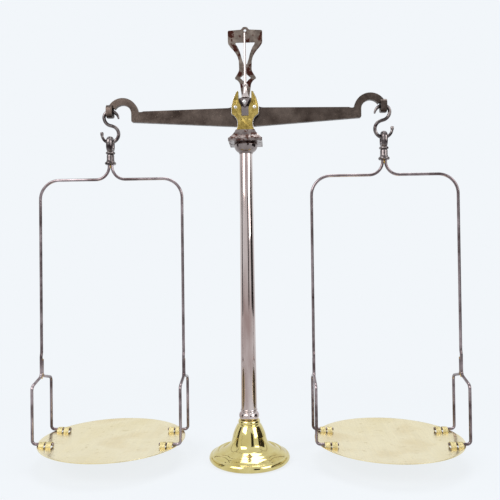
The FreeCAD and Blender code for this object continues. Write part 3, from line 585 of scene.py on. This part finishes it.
def hanging(side, sign):
    """S-hook, swivel and stirrup wires of one side, in metres."""
    barrel_low, barrel_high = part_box(f"{side}_swivel_barrel")
    axis_x = (barrel_low.x + barrel_high.x) / 2
    top = Vector((axis_x, 0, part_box(f"{side}_s_hook")[1].z - HOOK_HALF))
    points = hook_path(top, sign)
    count = len(points)
    bulb = {0: 0.8, 1: 0.98, 2: 0.98, 3: 0.86}
    radii = [min(1.0, 0.5 + 0.06 * k, bulb.get(count - 1 - k, 0.62 + 0.03 * (count - 1 - k)))
             for k in range(count)]
    hook = grown(path_curve(f"{side}_s_hook_forged", points, radii), WIRE_TREE, HOOK_STEEL,
                 Radius=HOOK_HALF, Sides=20)
    finish(hook, HOOK_STEEL, f"{side}_s_hook")
    for part, name, ease in (("swivel_eye", "swivel_eye_forged", 0.0),
                             ("swivel_barrel", "barrel_turned", 0.25),
                             ("swivel_flange", "flange_turned", 0.25)):
        finish(node_copy(f"{side}_{part}", f"{side}_{name}", ease), HOOK_STEEL, f"{side}_{part}")

    beside = 0.00205                    # two wires side by side, each this far from their middle
    shoulder_drop, toe_length = 0.02065, 0.029
    fork_top, fork_slant = 0.117, 0.008
    braze_top = fork_top + 0.027
    joggle, second_drop = 0.006, 0.004
    root_bend, shoulder_bend, joggle_bend, fork_bend, toe_bend = 0.0185, 0.027, 0.012, 0.007, 0.005
    bends = [root_bend, shoulder_bend, joggle_bend, joggle_bend, fork_bend, fork_bend, toe_bend]
    for name, way in (("outer", sign), ("inner", -sign)):
        node = f"{side}_{name}_stirrup_wire"
        wire_low, wire_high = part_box(node)
        reach = abs((wire_high.x if way > 0 else wire_low.x) - axis_x) - WIRE_HALF
        toe_z = wire_low.z + WIRE_HALF
        root_z = wire_high.z
        spread_y = -wire_low.y - WIRE_HALF

        def at(out, y, z):
            return Vector((axis_x + way * out, y, z))

        leg = [at(reach, -spread_y, fork_top - fork_slant), at(reach, -spread_y, toe_z),
               at(reach - toe_length, -spread_y, toe_z)]
        main = [at(beside, 0, root_z), at(beside, 0, root_z - shoulder_drop),
                at(reach, 0, root_z - shoulder_drop), at(reach, 0, braze_top + joggle),
                at(reach, -beside, braze_top), at(reach, -beside, fork_top)]
        second = [at(reach, beside, braze_top - second_drop), at(reach, beside, fork_top)]
        second += [Vector((p.x, -p.y, p.z)) for p in leg]
        for wire_node, corners, rounds in ((node, main + leg, bends),
                                           (f"{side}_{name}_fork_wire", second, bends[-3:])):
            carrier = path_curve(f"{wire_node}_drawn", rounded_path(corners, rounds))
            finish(grown(carrier, WIRE_TREE, WIRE_STEEL, Radius=WIRE_HALF, Sides=20), WIRE_STEEL,
                   wire_node)


def bridge_arch(mesh, x, y, foot, rise, half, wide, thick):
    """One lanced bridge: a thin strip of the sheet bowed up over the wire's toe, front to back."""
    count = 16
    rows = []
    for k in range(count + 1):
        angle = math.pi * k / count
        row = []
        for reach, top in ((half, rise), (half + thick, rise + thick)):
            for edge in (-0.5, 0.5):
                row.append(mesh.verts.new((x + edge * wide, y - math.cos(angle) * reach,
                                           foot + math.sin(angle) * top)))
        rows.append(row)
    for a, b in zip(rows, rows[1:]):
        for first, second in ((0, 1), (1, 3), (3, 2), (2, 0)):
            mesh.faces.new((a[first], a[second], b[second], b[first]))
    for row in (rows[0], rows[-1]):
        mesh.faces.new((row[0], row[1], row[3], row[2]))


def pans():
    """Dished sheets turned with a soft rim, lanced under their bridges."""
    dish, sheet, rings = 3.5, 1.0, 40
    bridge_places = (86.0, 76.5)        # mm from the pan's middle, on both sides of it
    window = (0.0074, 0.012, 0.006)
    bridge_half, bridge_wide, bridge_thick = 0.006, 0.007, 0.0009
    crown_room = 0.95                   # mm from the inside of a bridge's crown to the top of its box
    for side in ("left", "right"):
        low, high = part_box(f"{side}_pan")
        x, radius = (low.x + high.x) / 2, (high.y - low.y) / 2 / MM
        bow = (radius ** 2 + dish ** 2) / (2 * dish)

        def height(r):
            return bow - math.sqrt(bow ** 2 - r ** 2)

        steps = [radius * k / rings for k in range(rings + 1)]
        under = [(r, height(r)) for r in steps]
        over = [(r, height(r) + sheet) for r in reversed(steps)]
        pan = lathe(f"{side}_pan_sheet", under + over, (x, 0, low.z), 256, 0.3)
        fork = (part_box(f"{side}_outer_fork_wire")[1].y - WIRE_HALF) / MM
        top = high.z / MM - low.z / MM
        windows, arches = bmesh.new(), bmesh.new()
        for out in (-1, 1):
            for place in bridge_places:
                for y in (-fork, fork):
                    foot = height(math.hypot(place, y)) + sheet / 2
                    centre = (x + out * place * MM, y * MM, low.z + foot * MM)
                    hole = bmesh.ops.create_cube(windows, size=1)["verts"]
                    bmesh.ops.scale(windows, vec=window, verts=hole)
                    bmesh.ops.translate(windows, vec=centre, verts=hole)
                    bridge_arch(arches, *centre, (top - foot - crown_room) * MM, bridge_half,
                                bridge_wide, bridge_thick)
        pan = cut_away(pan, windows)
        arch = from_bmesh(f"{side}_bridge_strips", arches, 50)
        joined = bmesh.new()
        joined.from_mesh(pan.data)
        plain = len(joined.faces)
        joined.from_mesh(arch.data)
        joined.faces.ensure_lookup_table()
        for face in joined.faces[plain:]:
            face.material_index = 1
        bpy.data.objects.remove(arch)
        bpy.data.objects.remove(pan)
        pan = from_bmesh(f"{side}_pan_sheet", joined, 40)
        pan.data.materials.append(PAN_BRASS)
        # the bridge strips take the darker copy of the pan's brass: painted shade
        pan.data.materials.append(BRIDGE_PAINTED_SHADE_BRASS)
        finish(pan, PAN_BRASS, f"{side}_pan")


def blob(mesh, centre, radii, seed):
    """A lump of frozen braze: an uneven ellipsoid."""
    ball = bmesh.ops.create_icosphere(mesh, subdivisions=3, radius=1.0)["verts"]
    for vertex in ball:
        way = vertex.co.copy()
        swell = 1 + 0.08 * math.sin(5 * way.x + seed) + 0.07 * math.sin(6 * way.z + 2 * seed)
        vertex.co = Vector([c + w * r * MM * swell for c, w, r in zip(centre, way, radii)])


def braze(side):
    """Brass run in under the flange and down between each pair of fork wires."""
    flange_low, flange_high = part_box(f"{side}_swivel_flange")
    x = (flange_low.x + flange_high.x) / 2
    mesh = bmesh.new()
    blob(mesh, (x, 0, flange_low.z - 0.0022), (1.9, 2.0, 2.4), 0.4)
    for number, name in enumerate(("outer", "inner")):
        low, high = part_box(f"{side}_{name}_fork_wire")
        leg_x = low.x + WIRE_HALF if low.x < x else high.x - WIRE_HALF
        blob(mesh, (leg_x, 0.0012, high.z - 0.0008), (1.8, 1.7, 2.6), 1.3 + number)
        for step in range(5):
            blob(mesh, (leg_x, 0, high.z - 0.006 - 0.0045 * step), (1.35, 0.9, 3.2), 2.0 + step)
    lumps = from_bmesh(f"{side}_braze", mesh)
    lumps.data.materials.append(BRAZE)
    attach(lumps, body_of_node(f"{side}_swivel_flange"))


def hidden_steel():
    """The fixings inside keep their exact shape and take bright steel."""
    for node in ("foot_washer", "foot_nut", "tie_rod", "yoke_stud"):
        data = nodes[node].data
        data.materials.clear()
        data.materials.append(BRIGHT_STEEL)


# ---------------------------------------------------------------- studio

def studio():
    """White world and floor, soft lamps, and dark cards that only the metal sees."""
    scene = bpy.context.scene
    world = bpy.data.worlds.new("pale_studio")
    scene.world = world
    world.use_nodes = True
    tree = world.node_tree
    tree.nodes.clear()
    rays = add(tree, "ShaderNodeLightPath")
    seen = add(tree, "ShaderNodeMath", {"operation": "MAXIMUM"}, i0=rays.outputs["Is Camera Ray"],
               i1=rays.outputs["Is Glossy Ray"])
    clear = add(tree, "ShaderNodeMath", {"operation": "MAXIMUM"}, i0=seen.outputs[0],
                i1=rays.outputs["Is Transmission Ray"])
    ambient = add(tree, "ShaderNodeBackground", {"Color": linear("#e9eef2"), "Strength": 0.35})
    shown = add(tree, "ShaderNodeBackground", {"Color": linear(PALE), "Strength": 1.0})
    mixed = add(tree, "ShaderNodeMixShader", i0=clear.outputs[0], i1=ambient.outputs[0],
                i2=shown.outputs[0])
    add(tree, "ShaderNodeOutputWorld", Surface=mixed.outputs[0])

    floor_mesh = bmesh.new()
    bmesh.ops.create_grid(floor_mesh, x_segments=1, y_segments=1, size=6)
    floor = from_bmesh("pale_floor", floor_mesh)
    paint = bpy.data.materials.new("pale_floor_paint")
    paint.use_nodes = True
    tree = paint.node_tree
    tree.nodes.clear()
    rays = add(tree, "ShaderNodeLightPath")
    matt = add(tree, "ShaderNodeBsdfDiffuse", {"Color": linear(PALE)})
    glow = add(tree, "ShaderNodeEmission", {"Color": linear(PALE), "Strength": 1.0})
    seen = add(tree, "ShaderNodeMath", {"operation": "MAXIMUM"}, i0=rays.outputs["Is Camera Ray"],
               i1=rays.outputs["Is Glossy Ray"])
    place = add(tree, "ShaderNodeNewGeometry").outputs["Position"]
    away = add(tree, "ShaderNodeVectorMath", {"operation": "LENGTH"}, i0=place).outputs["Value"]
    evened = add(tree, "ShaderNodeMapRange", {"From Min": 0.25, "From Max": 0.7, "To Min": 0.86,
                                              "To Max": 1.0}, Value=away)
    share = add(tree, "ShaderNodeMath", {"operation": "MULTIPLY"}, i0=seen.outputs[0],
                i1=evened.outputs["Result"])
    mixed = add(tree, "ShaderNodeMixShader", i0=share.outputs[0], i1=matt.outputs[0], i2=glow.outputs[0])
    add(tree, "ShaderNodeOutputMaterial", Surface=mixed.outputs[0])
    floor.data.materials.append(paint)

    grey = bpy.data.materials.new("dark_card")
    grey.use_nodes = True
    board = next(n for n in grey.node_tree.nodes if n.type == "BSDF_PRINCIPLED")
    board.inputs["Base Color"].default_value = linear("#1a1310")
    board.inputs["Roughness"].default_value = 0.9
    for name, place, size, turn in (
            ("card_front", (0.62, -1.45, 0.35), (0.62, 1.1), -20),
            ("card_near_left", (-1.15, -0.95, 0.4), (0.14, 1.1), 50),
            ("card_left", (-1.3, -0.15, 0.45), (0.4, 0.9), 85),
            ("card_right", (1.35, -0.15, 0.45), (1.2, 0.9), -80)):
        mesh = bmesh.new()
        bmesh.ops.create_grid(mesh, x_segments=1, y_segments=1, size=0.5)
        card = from_bmesh(name, mesh)
        card.data.transform(Matrix.Diagonal((size[0], size[1], 1, 1)))
        card.data.transform(Matrix.Rotation(math.radians(90), 4, "X"))
        card.data.transform(Matrix.Rotation(math.radians(turn), 4, "Z"))
        card.data.transform(Matrix.Translation(place))
        card.data.materials.append(grey)
        card.visible_camera = False
        card.visible_shadow = False
        card.visible_diffuse = False

    for name, place, target, size, watts in (
            ("key_softbox", (-1.1, -1.3, 1.5), (0, 0, 0.3), 1.1, 22),
            ("fill_softbox", (1.4, -1.0, 1.0), (0, 0, 0.3), 0.9, 12),
            ("top_softbox", (0.1, 0.4, 1.9), (0, 0, 0.2), 1.0, 14)):
        lamp = bpy.data.lights.new(name, "AREA")
        lamp.size = size
        lamp.energy = watts
        light = bpy.data.objects.new(name, lamp)
        light.location = place
        light.rotation_euler = (Vector(target) - Vector(place)).to_track_quat("-Z", "Y").to_euler()
        scene.collection.objects.link(light)


def camera():
    """Level view from the front, a little to the right of the column, at half the height."""
    scene = bpy.context.scene
    data = bpy.data.cameras.new("camera")
    data.sensor_width = 36
    data.lens = 41.6
    view = bpy.data.objects.new("camera", data)
    view.location = (0.034, -0.800, 0.280)
    look = Matrix.Rotation(math.radians(2.15), 4, "Z") @ Matrix.Rotation(math.radians(90.7), 4, "X")
    roll = Matrix.Rotation(math.radians(-0.7), 4, "Z")
    view.rotation_euler = (look @ roll).to_euler()
    scene.collection.objects.link(view)
    scene.camera = view
    scene.view_settings.view_transform = "Standard"


camera()
studio()
turned_stand()
plates()
rivets()
pointer()
for hand, direction in (("left", -1), ("right", 1)):
    hanging(hand, direction)
    braze(hand)
pans()
hidden_steel()
